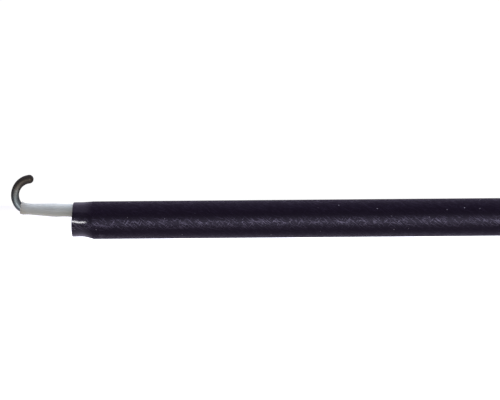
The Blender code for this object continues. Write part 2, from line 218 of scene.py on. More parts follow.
def subdivided(points: Sequence[Point2], longest: float) -> list[Point2]:
    """Splits an outline's long sides.

    Args:
        points: (along, radius) points of the outline, in millimetres.
        longest: The length that no side passes.

    Returns:
        The outline with the points that the splits add.
    """
    found = [points[0]]
    for (x0, r0), (x1, r1) in zip(points, points[1:]):
        pieces = max(1, math.ceil(math.hypot(x1 - x0, r1 - r0) / longest))
        for n in range(1, pieces + 1):
            found.append((x0 + (x1 - x0) * n / pieces, r0 + (r1 - r0) * n / pieces))
    return found


def turned(
    name: str,
    outline: Sequence[Point2],
    axis: float,
    fineness: tuple[float, float, int],
    ends: Ends,
    radius_at: Optional[Callable[[float, float, np.ndarray], np.ndarray]] = None,
) -> bpy.types.Object:
    """Turns an outline about the shaft's axis.

    Args:
        name: The piece's name.
        outline: (along, radius) corners in millimetres.
        axis: The axis's height in millimetres.
        fineness: The rounding of its corners, the longest side left whole and the points in a ring.
        ends: Whether the ends are capped or run into each other.
        radius_at: Changes the radius, from along, radius and the array of angles.

    Returns:
        The new object, linked to the scene.
    """
    rounding, longest, sides = fineness
    fine = subdivided(rounded(outline, rounding), longest)
    angles = np.arange(sides) * FULL_TURN / sides
    rings = np.empty((len(fine), sides, 3))
    for ring, (along, radius) in zip(rings, fine):
        reach = np.full(sides, radius) if radius_at is None else radius_at(along, radius, angles)
        ring[:, 0] = along
        ring[:, 1] = reach * np.cos(angles)
        ring[:, 2] = axis + reach * np.sin(angles)
    return mesh_from_rings(name, (rings * MM)[:, ::-1], ends)


def eased(value: float, start: float, run: float) -> float:
    """A smooth rise from 0 at the start to 1 when the value has passed it by the run."""
    held = min(max((value - start) / run, 0.0), 1.0)
    return held * held * (3 - 2 * held)


def bump_at(place: float, centre: float, width: float) -> float:
    """A soft bump of height 1 at the centre, fading within about the width."""
    return math.exp(-(((place - centre) / width) ** 2))


def waves(angles: np.ndarray, terms: Sequence[Wave]) -> np.ndarray:
    """The sum of waves round a ring, at each of its angles."""
    return sum(height * np.sin(count * angles + start) for height, count, start in terms)


# ---- finishes


@dataclass(frozen=True)
class Painter:
    """A material under way, with short ways to add the nodes that the finishes share."""

    tree: bpy.types.NodeTree
    shader: bpy.types.Node
    place: Socket  # the position on the piece, in millimetres

    def feed(self, inputs: dict[str, Value]) -> None:
        """Links sockets to the shader's inputs and sets plain values on them."""
        fill(self.tree, self.shader, inputs)

    def add(self, kind: str, inputs: dict, output: Union[int, str] = 0, **settings: object) -> Socket:
        """Adds a node.

        Args:
            kind: Blender's name for the node type.
            inputs: Sockets or plain values by the input's name or number.
            output: The name or number of the wanted output.
            settings: Properties of the node, or a ramp's stops.

        Returns:
            The wanted output's socket.
        """
        return add_node(self.tree, kind, inputs, **settings).outputs[output]

    def axis(self, name: str) -> Socket:
        """The X, Y or Z coordinate of the position."""
        return self.add("ShaderNodeSeparateXYZ", {0: self.place}, name)

    def scaled(self, scale: Point3, at: Optional[Socket] = None) -> Socket:
        """The position, or another place, with each axis scaled by its own number."""
        return self.add("ShaderNodeMapping", {"Vector": at or self.place, "Scale": scale})

    def noise(
        self, scale: float, detail: float, roughness: float = 0.5, at: Optional[Socket] = None
    ) -> Socket:
        """Cloudy noise from 0 to 1, with so many clouds in a millimetre, at the position or another place."""
        inputs = {"Vector": at or self.place, "Scale": scale, "Detail": detail, "Roughness": roughness}
        return self.add("ShaderNodeTexNoise", inputs, "Fac")

    def maths(self, operation: str, *terms: Value, **settings: object) -> Socket:
        """Combines two or three sockets or numbers by one of Blender's operations."""
        return self.add("ShaderNodeMath", dict(enumerate(terms)), operation=operation, **settings)

    def spread(self, value: Socket, span: Span, onto: Span = (0.0, 1.0), **settings: object) -> Socket:
        """Spreads one span of a value onto another, held at its ends."""
        ends = {"From Min": span[0], "From Max": span[1], "To Min": onto[0], "To Max": onto[1]}
        return self.add("ShaderNodeMapRange", {"Value": value, **ends}, **settings)

    def blend(self, share: Socket, first: Union[Socket, str], second: str) -> Socket:
        """Blends a hex colour or a colour socket into a second hex colour, by the second one's share."""
        first = linear(first) if isinstance(first, str) else first
        inputs = {"Factor": share, "A": first, "B": linear(second)}
        return self.add("ShaderNodeMix", inputs, 2, data_type="RGBA")

    def relief(
        self, height: Socket, depth: float, strength: Value = 1.0, over: Optional[Socket] = None
    ) -> Socket:
        """Relief pressed into the surface.

        Args:
            height: Its height, from 0 to 1.
            depth: How deep it is, in millimetres.
            strength: How much of it shows, as a number or a socket.
            over: Another relief that it lies on.

        Returns:
            The normal's socket.
        """
        under = {} if over is None else {"Normal": over}
        inputs = {"Height": height, "Distance": depth * MM, "Strength": strength, **under}
        return self.add("ShaderNodeBump", inputs)

    def unrolled(self, axis: float, radius: float) -> Socket:
        """Unrolls a round surface about the shaft's axis.

        Args:
            axis: The axis's height.
            radius: The surface's radius.

        Returns:
            A socket with (along, around, 0) in millimetres.
        """
        above = self.maths("SUBTRACT", self.axis("Z"), axis)
        toward = self.maths("MULTIPLY", self.axis("Y"), -1.0)
        around = self.maths("MULTIPLY", self.maths("ARCTAN2", above, toward), radius)
        return self.add("ShaderNodeCombineXYZ", {"X": self.axis("X"), "Y": around})


@dataclass(frozen=True)
class Finish:
    """What every finish shares: the material's name and the numbers that each one sets for itself."""

    name: str
    slot: str
    ior: float = 1.5
    metallic: float = 0.0
    shine: str = "#FFFFFF"
    roughness: Span = (0.40, 0.60)  # from the plain surface to where it is marked or worn
    depth: float = 0.01  # of the relief
    strength: float = 0.3  # how much of the relief shows

    def build(self) -> bpy.types.Material:
        """Makes the material.

        Returns:
            The finished material.
        """
        made = bpy.data.materials.new(self.name)
        made.use_nodes = True
        tree = made.node_tree
        metres = add_node(tree, "ShaderNodeTexCoord").outputs["Object"]
        place = add_node(tree, "ShaderNodeVectorMath", {0: metres, "Scale": 1 / MM}, operation="SCALE")
        on = Painter(tree, tree.nodes["Principled BSDF"], place.outputs["Vector"])
        on.feed({"Metallic": self.metallic, "Specular Tint": linear(self.shine)})
        if not self.metallic:
            on.feed({"IOR": self.ior})
        self.paint(on)
        return made

    def paint(self, on: Painter) -> None:
        """Adds the finish's own nodes to the material."""
        raise NotImplementedError


@dataclass(frozen=True)
class Hairlines:
    """Fine scratches that run at one slant, sparse enough to tell apart."""

    slant: float  # degrees from the shaft's axis
    spacing: float
    length: float
    share: float  # how much of the surface they cover, from 0 to 1
    sharpness: float = 0.04

    def draw(self, on: Painter, flat: Socket) -> Socket:
        """Draws the scratches.

        Args:
            on: The material.
            flat: The place on the unrolled surface.

        Returns:
            A socket that is 1 in a scratch and 0 beside it.
        """
        rotation = (0, 0, math.radians(self.slant))
        turned = on.add("ShaderNodeMapping", {"Vector": flat, "Rotation": rotation})
        drawn = on.noise(1.0, 1.0, 0.6, on.scaled((1 / self.length, 1 / self.spacing, 1), turned))
        edge = 0.5 + 0.2 * (1 - self.share)
        return on.spread(drawn, (edge, edge + self.sharpness))


@dataclass(frozen=True)
class ShrunkSleeving(Finish):
    """Black heat-shrunk polyolefin: a dense purple-black skin with a soft shine, scuffed by handling, its
    marks painted pale as a highlight grain.
    """

    # Shrinking leaves a smooth skin, so it mirrors lights softly. Wiping and trays rub its two sides, which
    # gives short slanting hairlines and a fine grain, smoother than the rest, and a few specks of lint cling.
    # The hairlines and grain are painted pale only in a band just below the axis, where the front strip's
    # highlight falls: partly the paleness of wear, partly painted highlight.
    skin: str = "#160A1B"
    # The pale colour of the marks in the band below the axis: partly wear, partly painted highlight.
    scuff_and_painted_highlight: str = "#645D71"
    lint: str = "#B4B0BA"
    roughness: Span = (0.54, 0.28)
    depth: float = 0.009
    axis: float = 5.0
    radius: float = 2.5
    neck_end: float = 0.0
    neck_fade: Span = (-0.5, 0.6)  # about the neck's end
    neck_roughness: float = 0.38
    glaze: float = 0.6
    dimple_depth: float = 0.03
    scratches_over_grain: float = 0.6
    grain_size: float = 0.16
    rising: Hairlines = Hairlines(38, 0.11, 1.3, 0.55)
    falling: Hairlines = Hairlines(-52, 0.143, 0.9, 0.35)
    along: Hairlines = Hairlines(12, 0.176, 1.8, 0.35)
    # Where the band of painted highlight lies below the axis, and where it is full and where it fades.
    painted_highlight_below_axis: float = 0.47
    painted_highlight_reach: Span = (0.15, 1.0)
    lint_spacing: float = 2.3
    lint_reach: float = 0.026

    def marks(self, on: Painter, flat: Socket) -> tuple[Socket, Socket]:
        """Scratches and grain.

        Args:
            on: The material.
            flat: The place on the unrolled surface.

        Returns:
            The scratches, from 0 to 1, and the grain, about 0.5.
        """
        rising, falling, along = (lines.draw(on, flat) for lines in (self.rising, self.falling, self.along))
        scratches = on.maths("ADD", on.maths("ADD", rising, falling), along, use_clamp=True)
        return scratches, on.noise(1 / self.grain_size, 3.0, 0.65, flat)

    def colour(self, on: Painter, flat: Socket, marks: Socket) -> Socket:
        """The skin's colour: its marks painted pale as a highlight grain in a band on its two sides, and
        specks of lint.

        Args:
            on: The material.
            flat: The place on the unrolled surface.
            marks: How strongly the skin is marked.

        Returns:
            The colour's socket.
        """
        # Painted highlight: the marks turn pale only near the height where the front strip's highlight falls,
        # on both sides.
        above = on.maths("SUBTRACT", on.axis("Z"), self.axis - self.painted_highlight_below_axis)
        off_highlight_band = on.maths("ABSOLUTE", above)
        painted_highlight_band = on.spread(off_highlight_band, self.painted_highlight_reach, (1.0, 0.1), interpolation_type="SMOOTHSTEP")
        wear_and_painted_highlight = on.maths("MULTIPLY", on.spread(marks, (0.55, 1.05)), painted_highlight_band)
        spaced = {"Vector": flat, "Scale": 1 / self.lint_spacing}
        cells = add_node(on.tree, "ShaderNodeTexVoronoi", spaced, voronoi_dimensions="2D").outputs
        chosen = on.add("ShaderNodeSeparateColor", {0: cells["Color"]})
        reach = on.spread(chosen, (0.35, 1.0), (0.0, self.lint_reach))
        speck = on.maths("LESS_THAN", cells["Distance"], reach)
        return on.blend(speck, on.blend(wear_and_painted_highlight, self.skin, self.scuff_and_painted_highlight), self.lint)

    def paint(self, on: Painter) -> None:
        """Adds the sleeving's colour with its painted highlight grain, its scuffed shine, hairlines, grain
        and lint.
        """
        flat = on.unrolled(self.axis, self.radius)
        scratches, grain = self.marks(on, flat)
        marks = on.maths("MULTIPLY_ADD", scratches, self.scratches_over_grain, grain)

        # The neck was shrunk hotter on a smooth plug, so it has a glaze, an even shine and slow dimples.
        start, end = (self.neck_end + away for away in self.neck_fade)
        neck = on.spread(on.axis("X"), (start, end), (1.0, 0.0))
        polish = on.spread(marks, (0.45, 1.05), self.roughness)
        shine = {"Factor": neck, "A": polish, "B": self.neck_roughness}
        fine = on.relief(on.maths("MULTIPLY_ADD", scratches, 0.35, grain), self.depth)
        on.feed(
            {
                # The base colour carries the painted highlight grain of the band below the axis.
                "Base Color": self.colour(on, flat, marks),
                "Roughness": on.add("ShaderNodeMix", shine, data_type="FLOAT"),
                "Specular IOR Level": 0.1,
                "Coat Weight": on.maths("MULTIPLY", neck, self.glaze),
                "Coat Roughness": 0.12,
                "Normal": on.relief(on.noise(0.8, 1.0), self.dimple_depth, neck, fine),
            }
        )


@dataclass(frozen=True)
class ExtrudedFluoropolymer(Finish):
    """Pale grey extruded fluoropolymer tubing: waxy, a little see-through, with faint die lines."""

    # Light enters the wall and comes back soft and slightly warm, while the skin keeps a soft shine on top.
    body: str = "#E3E9E0"
    clouded: str = "#D3DBD2"
    warm: str = "#C0B39C"
    roughness: Span = (0.36, 0.54)
    depth: float = 0.02
    strength: float = 0.5
    heel: float = 0.0
    singed_run: float = 0.9
    die_lines: Point3 = (0.25, 5.0, 5.0)

    def paint(self, on: Painter) -> None:
        """Adds the tubing's clouding, die lines and the warm tinge by the hot end."""
        clouds = on.noise(0.9, 3.0)
        streaks = on.noise(1.0, 2.0, at=on.scaled(self.die_lines))
        near_heel = on.spread(on.axis("X"), (self.heel, self.heel + self.singed_run), (0.75, 0.0))
        singed = on.maths("MULTIPLY", near_heel, streaks)
        on.feed(
            {
                "Base Color": on.blend(singed, on.blend(clouds, self.body, self.clouded), self.warm),
                "Roughness": on.spread(streaks, (0.0, 1.0), self.roughness),
                "Normal": on.relief(clouds, self.depth, self.strength),
                "Specular IOR Level": 0.25,
                "Subsurface Weight": 0.25,
                "Subsurface Radius": (1.0, 0.9, 0.8),
                "Subsurface Scale": 0.4 * MM,
            }
        )


@dataclass(frozen=True)
class HeatStainedWire(Finish):
    """Drawn stainless wire after use: grey at the shank, brown then sooty black towards the tip."""

    # Current heats the tip most, so an oxide skin dulls and darkens it until it hardly looks like metal.
    metallic: float = 1.0
    bare: str = "#666D70"
    dulled: str = "#4F5353"
    browned: str = "#3E3B38"
    soot: str = "#2F2C2A"
    roughness: Span = (0.50, 0.58)
    depth: float = 0.002
    strength: float = 0.4
    heel_height: float = 0.0
    tip_height: float = 1.0

    def paint(self, on: Painter) -> None:
        """Adds the stain that deepens with height, its blotches and the surface's fine pitting."""
        heights = (self.heel_height, self.tip_height)
        heated = on.spread(on.axis("Z"), heights, (-0.1, 1.0), clamp=False)
        stain = on.maths("MULTIPLY_ADD", on.noise(1.3, 3.0), 0.45, heated)
        stops = [(0.15, self.bare), (0.5, self.dulled), (0.8, self.browned), (1.0, self.soot)]
        on.feed(
            {
                "Base Color": on.add("ShaderNodeValToRGB", {0: stain}, stops=stops),
                "Roughness": on.spread(stain, (0.1, 1.1), self.roughness),
                "Metallic": on.spread(stain, (0.5, 1.0), (1.0, 0.1)),
                "Specular IOR Level": 0.3,
                "Normal": on.relief(on.noise(9.0, 3.0), self.depth, self.strength),
            }
        )


@dataclass(frozen=True)
class MouldedPolyamide(Finish):
    """Black spark-textured glass-filled polyamide: dull and finely pebbled, polished where it is held."""

    # The tool's eroded texture scatters light evenly. Handling levels the pebbles on the proud edges.
    body: str = "#121114"
    faded: str = "#242226"
    roughness: Span = (0.56, 0.40)
    depth: float = 0.03
    strength: float = 0.6
    pebble: float = 0.16

    def paint(self, on: Painter) -> None:
        """Adds the pebbled texture, its uneven shine and a little fading on proud edges."""
        pebbles = on.add("ShaderNodeTexVoronoi", {"Vector": on.place, "Scale": 1 / self.pebble}, "Distance")
        edges = on.add("ShaderNodeNewGeometry", {}, "Pointiness")
        proud = on.spread(edges, (0.50, 0.60), (0.0, 0.7))
        held = on.maths("MULTIPLY_ADD", on.noise(0.25, 4.0), 0.4, proud)
        on.feed(
            {
                "Base Color": on.blend(held, self.body, self.faded),
                "Roughness": on.spread(held, (0.1, 0.9), self.roughness),
                "Normal": on.relief(pebbles, self.depth, self.strength),
            }
        )


@dataclass(frozen=True)
class TurnedMetal(Finish):
    """Metal turned on a lathe or drawn: fine rings round the axis or lines along it, with faint tarnish."""

    # The tool leaves a thread of fine marks, so highlights spread across them, and tarnish dulls patches.
    metallic: float = 1.0
    clean: str = "#C9A24E"
    tarnished: str = "#8E6D33"
    marks: Point3 = (9.0, 0.4, 0.4)  # marks in a millimetre along each axis
    roughness: Span = (0.18, 0.38)

    def paint(self, on: Painter) -> None:
        """Adds the tool marks, the tarnish and the uneven shine."""
        marks = on.noise(1.0, 2.0, at=on.scaled(self.marks))
        dulled = on.spread(on.noise(0.5, 4.0), (0.45, 0.75))
        on.feed(
            {
                "Base Color": on.blend(dulled, self.clean, self.tarnished),
                "Roughness": on.spread(marks, (0.0, 1.0), self.roughness),
                "Normal": on.relief(marks, self.depth, self.strength),
            }
        )


@dataclass(frozen=True)
class PlainPolymer(Finish):
    """A turned or moulded polymer or rubber: even and dull, with faint clouding."""

    # These pieces are plain stock, so the eye sees only slight mottling and a soft, uneven shine.
    body: str = "#C9BE9F"
    mottled: str = "#A99C7C"
    speckle: float = 0.5

    def paint(self, on: Painter) -> None:
        """Adds the mottling, the uneven shine and a fine skin."""
        skin = on.noise(8.0, 2.0)
        on.feed(
            {
                "Base Color": on.blend(on.noise(1 / self.speckle, 4.0), self.body, self.mottled),
                "Roughness": on.spread(skin, (0.0, 1.0), self.roughness),
                "Normal": on.relief(skin, self.depth, self.strength),
            }
        )


# ---- the frame's measures


@dataclass(frozen=True)
class Layout:
    """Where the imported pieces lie, in millimetres."""

    mouth: float
    axis: float
    shaft_radius: float
    hook_top: float
    grip_front: float
    grip_rear: float

    @classmethod
    def from_frame(cls) -> "Layout":
        """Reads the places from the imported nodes.

        Returns:
            The layout.
        """
        low, high = (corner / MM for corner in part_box("shaft_insulation"))
        grip_low, grip_high = (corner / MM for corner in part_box("grip_body"))
        return cls(
            mouth=low.x,
            axis=(grip_low.z + grip_high.z) / 2,
            shaft_radius=(high.y - low.y) / 2,
            hook_top=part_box("hook_electrode")[1].z / MM,
            grip_front=grip_low.x,
            grip_rear=grip_high.x,
        )


def settle(piece: bpy.types.Object, node: str, finish: Finish) -> None:
    """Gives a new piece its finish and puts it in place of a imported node.

    Args:
        piece: The new object, in place.
        node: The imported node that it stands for.
        finish: Its finish.
    """
    piece.data.materials.append(finish.build())
    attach(piece, "root")
    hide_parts(node)
    LOG.info("%s: %d faces, in %s", piece.name, len(piece.data.polygons), finish.name)


# ---- the working end


@dataclass
class BentWire:
    """The line that the hook and its sleeve follow, in the XZ plane."""

    layout: Layout
    neck_length: float = 2.65
    rod_offset: float = 1.20
    rise: float = math.radians(2.5)
    shank: float = 6.38
    heel_radius: float = 1.15
    heel_turn: float = math.radians(46)
    crook_radius: float = 2.13
    crook_turn: float = math.radians(126)
    lead_steps: int = 60
    heel_steps: int = 24
    crook_steps: int = 60

    def points(self, heel_share: float, crook_share: float) -> tuple[np.ndarray, np.ndarray]:
        """Points along the line, from the tube's front end towards the tip.

        Args:
            heel_share: How much of the heel's bend to follow.
            crook_share: How much of the crook's bend to follow.

        Returns:
            (x, z) places in millimetres, and the heading at each in radians.
        """
        lead = (self.neck_length + self.shank) / math.cos(self.rise)
        heel, crook = self.heel_turn * heel_share, self.crook_turn * crook_share
        bends = [(lead, 0.0, self.lead_steps), (self.heel_radius * heel, heel, self.heel_steps)]
        if crook > 0:
            bends.append((self.crook_radius * crook, crook, self.crook_steps))
        heading = math.pi - self.rise
        place = np.array([self.layout.mouth + self.neck_length, self.layout.axis + self.rod_offset])
        places, headings = [place], [heading]
        for length, turn, pieces in bends:
            for _ in range(pieces):
                middle = heading - turn / pieces / 2
                place = place + length / pieces * np.array([math.cos(middle), math.sin(middle)])
                heading -= turn / pieces
                places.append(place)
                headings.append(heading)
        return np.array(places), np.array(headings)


def ring_about(place: np.ndarray, tilt: float, tall: float, wide: float, sides: int) -> np.ndarray:
    """A ring of points round a place on the bent line.

    Args:
        place: (x, z) of its centre in millimetres.
        tilt: The direction that the ring faces, in radians in the XZ plane.
        tall: Its half-height across the bend.
        wide: Its half-width along Y.
        sides: How many points it has.

    Returns:
        The ring's points in millimetres.
    """
    angles = np.arange(sides) * FULL_TURN / sides
    across = np.array([-math.sin(tilt), math.cos(tilt)])
    ring = np.empty((sides, 3))
    ring[:, 0] = place[0] + tall * np.sin(angles) * across[0]
    ring[:, 1] = wide * np.cos(angles)
    ring[:, 2] = place[1] + tall * np.sin(angles) * across[1]
    return ring


@dataclass
class Hook:
    """The bare J hook, bent from round wire, with its shank inside the sleeve."""

    layout: Layout
    line: BentWire
    radius: float = 0.53
    tip_radius: float = 0.58
    grows_from: float = 0.75  # the share of the line from which the wire thickens towards its tip
    dome_depth: float = 0.95  # of the tip, as a share of its radius
    shank_end: float = 4.9
    stain_starts: float = 1.9  # above the shaft's axis
    sides: int = 48
    dome_steps: int = 10

    def build(self) -> bpy.types.Object:
        """Builds the hook.

        Returns:
            The hook's object.
        """
        places, headings = self.line.points(1.0, 1.0)
        rear = np.array([places[0][0] + self.shank_end, places[0][1]])
        rings = [ring_about(rear, math.pi, self.radius, self.radius, self.sides)]
        for n, (place, heading) in enumerate(zip(places, headings)):
            grown = eased(n / len(places), self.grows_from, 1 - self.grows_from)
            radius = self.radius + (self.tip_radius - self.radius) * grown
            rings.append(ring_about(place, heading, radius, radius, self.sides))
        ahead = np.array([math.cos(headings[-1]), math.sin(headings[-1])])
        for n in range(1, self.dome_steps):
            lean = math.pi / 2 * n / self.dome_steps
            radius = self.tip_radius * math.cos(lean)
            place = places[-1] + ahead * self.tip_radius * self.dome_depth * math.sin(lean)
            rings.append(ring_about(place, headings[-1], radius, radius, self.sides))
        return mesh_from_rings("hook", np.array(rings) * MM, Ends.CAPPED)

    def dress(self, piece: bpy.types.Object) -> None:
        """Gives the hook its heat-stained finish."""
        finish = HeatStainedWire(
            name="drawn_stainless_wire_heat_stained",
            slot="hook_steel",
            shine="#E8D6C0",
            heel_height=self.layout.axis + self.stain_starts,
            tip_height=self.layout.hook_top,
        )
        settle(piece, "hook_electrode", finish)


@dataclass
class RodSleeve:
    """The pale insulating sleeve, slightly uneven, cut off short at the heel."""

    layout: Layout
    line: BentWire
    radius: float = 0.86
    waist: float = 0.74
    end_flare: float = 0.80
    bore: float = 0.57
    rear_end: float = -2.0
    heel_share: float = 26 / 46
    upright_share: float = 0.72  # how far the cut end is turned back from the wire's heading
    slims: Span = (2.6, 3.2)  # where it starts to slim, ahead of the mouth, and the run that this takes
    flares: Span = (5.8, 1.0)
    swellings: tuple[Point3, ...] = ((0.03, 2.4, 0.8), (-0.012, 1.3, 0.5))  # (height, place, width)
    sag: float = 0.045
    sinks: Span = (0.8, 1.6)
    lifts: Span = (5.0, 1.4)
    cut_length: float = 6.9  # from the mouth to the cut end
    lip: tuple[Point2, ...] = ((0.035, 0.012), (0.055, 0.04), (0.06, 0.09))  # (ahead, shrink) round the cut
    bore_lip: float = 0.045
    sides: int = 48

    def radius_ahead(self, ahead: float) -> float:
        """The sleeve's radius at a distance ahead of the mouth: slimmer, then flared, with a swelling."""
        slim, flare = eased(ahead, *self.slims), eased(ahead, *self.flares)
        radius = self.radius + (self.waist - self.radius) * slim + (self.end_flare - self.waist) * flare
        return sum((height * bump_at(ahead, at, width) for height, at, width in self.swellings), radius)

    def sag_ahead(self, ahead: float) -> float:
        """How far the sleeve hangs below the wire's line at a distance ahead of the mouth."""
        return self.sag * eased(ahead, *self.sinks) * (1 - eased(ahead, *self.lifts))

    def ring(self, place: np.ndarray, heading: float, radius: float) -> np.ndarray:
        """One ring of the sleeve, turned back from the wire's heading like the cut end.

        Args:
            place: (x, z) of its centre.
            heading: The wire's heading there, in radians.
            radius: Its radius square to the wire.

        Returns:
            The ring's points in millimetres.
        """
        tilt = heading + (math.pi - self.line.rise - heading) * self.upright_share
        return ring_about(place, tilt, radius / math.cos(tilt - heading), radius, self.sides)

    def build(self) -> bpy.types.Object:
        """Builds the sleeve, with a rounded end and its bore.

        Returns:
            The sleeve's object.
        """
        places, headings = self.line.points(self.heel_share, 0.0)
        outer = []
        for place, heading in zip(places, headings):
            ahead = self.layout.mouth - place[0]
            centre = place - np.array([0.0, self.sag_ahead(ahead)])
            outer.append(self.ring(centre, heading, self.radius_ahead(ahead)))
        end, heading = places[-1], headings[-1]
        forward = np.array([math.cos(heading), math.sin(heading)])
        full = self.radius_ahead(self.layout.mouth - end[0])
        outer += [self.ring(end + forward * along, heading, full - shrink) for along, shrink in self.lip]
        inner = [self.ring(end + forward * self.bore_lip, heading, self.bore)]
        inner += [self.ring(place, turned, self.bore) for place, turned in zip(places[::-1], headings[::-1])]
        rear = np.array([self.rear_end, places[0][1]])
        inner.append(ring_about(rear, math.pi, self.bore, self.bore, self.sides))
        first = ring_about(rear, math.pi, self.radius, self.radius, self.sides)
        return mesh_from_rings("rod_sleeve", np.array([first, *outer, *inner]) * MM, Ends.JOINED)

    def dress(self, piece: bpy.types.Object) -> None:
        """Gives the sleeve its pale waxy finish."""
        finish = ExtrudedFluoropolymer(
            name="extruded_fluoropolymer_pale_grey",
            slot="electrode_sleeve",
            ior=1.38,
            heel=self.layout.mouth - self.cut_length,
        )
        settle(piece, "electrode_sleeve", finish)


@dataclass
class ShaftSkin:
    """The black sleeving, shrunk tight over the tube and necked down over the nose plug."""

    layout: Layout
    neck_radius: float = 2.28
    neck_offset: float = 0.13
    neck_straight: float = 1.0
    neck_length: float = 2.65
    flare_power: float = 1.7
    wall: float = 0.15
    sides: int = 160
    rear_run: float = 6.5  # inside the grip
    fine_run: float = 3.6  # behind the mouth, where the rings lie close
    fine_step: float = 0.06
    coarse_step: float = 0.8
    lip: tuple[Point2, ...] = ((0.02, -0.075), (-0.015, -0.05), (-0.01, -0.02))  # (run, change of radius)
    lip_outside: float = 0.02
    lip_inside: float = 0.04
    lumps: tuple[Wave, ...] = ((0.012, 3, 0.0), (0.008, 5, 1.0))  # of hand shrinking, on the neck
    twists: tuple[float, ...] = (2.2, -3.1)  # how each lump winds along the neck
    cut: tuple[Wave, ...] = ((0.09, 1, 0.0), (0.02, 2, 0.7), (0.012, 5, 0.0))  # the wavy cut at the mouth
    cut_reach: float = 0.15  # how far behind the mouth the cut shows
    glossy_run: float = 2.05  # from the mouth, the part shrunk hottest

    def flare_share(self, run: float) -> float:
        """How far the neck has widened at a distance behind the mouth, from 0 to 1."""
        share = (run - self.neck_straight) / (self.neck_length - self.neck_straight)
        return min(max(share, 0.0), 1.0) ** self.flare_power

    def build(self) -> bpy.types.Object:
        """Builds the skin from its mouth to its rear end and back along its bore.

        Returns:
            The skin's object.
        """
        length = self.layout.grip_front + self.rear_run - self.layout.mouth
        near = np.arange(0.0, self.fine_run, self.fine_step)
        runs = [*near, *np.arange(self.fine_run, length, self.coarse_step), length]
        widening = self.layout.shaft_radius - self.neck_radius
        outline = [(run, self.neck_radius + widening * self.flare_share(run)) for run in runs]
        rings = [self.ring(run, self.neck_radius + change) for run, change in self.lip]
        rings += [self.ring(run or self.lip_outside, radius) for run, radius in outline]
        rings += [self.ring(run or self.lip_inside, radius - self.wall) for run, radius in reversed(outline)]
        return mesh_from_rings("shaft_skin", np.array(rings) * MM, Ends.JOINED)

    def ring(self, run: float, radius: float) -> np.ndarray:
        """One ring of the skin, with its lumps and its wavy cut.

        Args:
            run: Distance behind the mouth.
            radius: The skin's radius there.

        Returns:
            The ring's points in millimetres.
        """
        angles = np.arange(self.sides) * FULL_TURN / self.sides
        left = 1 - self.flare_share(run)
        pairs = zip(self.lumps, self.twists)
        wound = [(height, n, start + twist * run) for (height, n, start), twist in pairs]
        at_mouth = math.exp(-run / self.cut_reach) if run < self.neck_straight else 0.0
        reach = radius + waves(angles, wound) * left
        ring = np.empty((self.sides, 3))
        ring[:, 0] = self.layout.mouth + run + waves(angles, self.cut) * at_mouth
        ring[:, 1] = -reach * np.cos(angles)
        ring[:, 2] = self.layout.axis + self.neck_offset * left + reach * np.sin(angles)
        return ring

    def dress(self, piece: bpy.types.Object) -> None:
        """Gives the skin its scuffed black finish, with its painted highlight grain."""
        finish = ShrunkSleeving(
            name="heat_shrunk_polyolefin_black",
            slot="shaft_insulation",
            ior=1.52,
            shine="#DFD8FF",
            axis=self.layout.axis,
            radius=self.layout.shaft_radius,
            neck_end=self.layout.mouth + self.glossy_run,
        )
        settle(piece, "shaft_insulation", finish)


# ---- the grip end


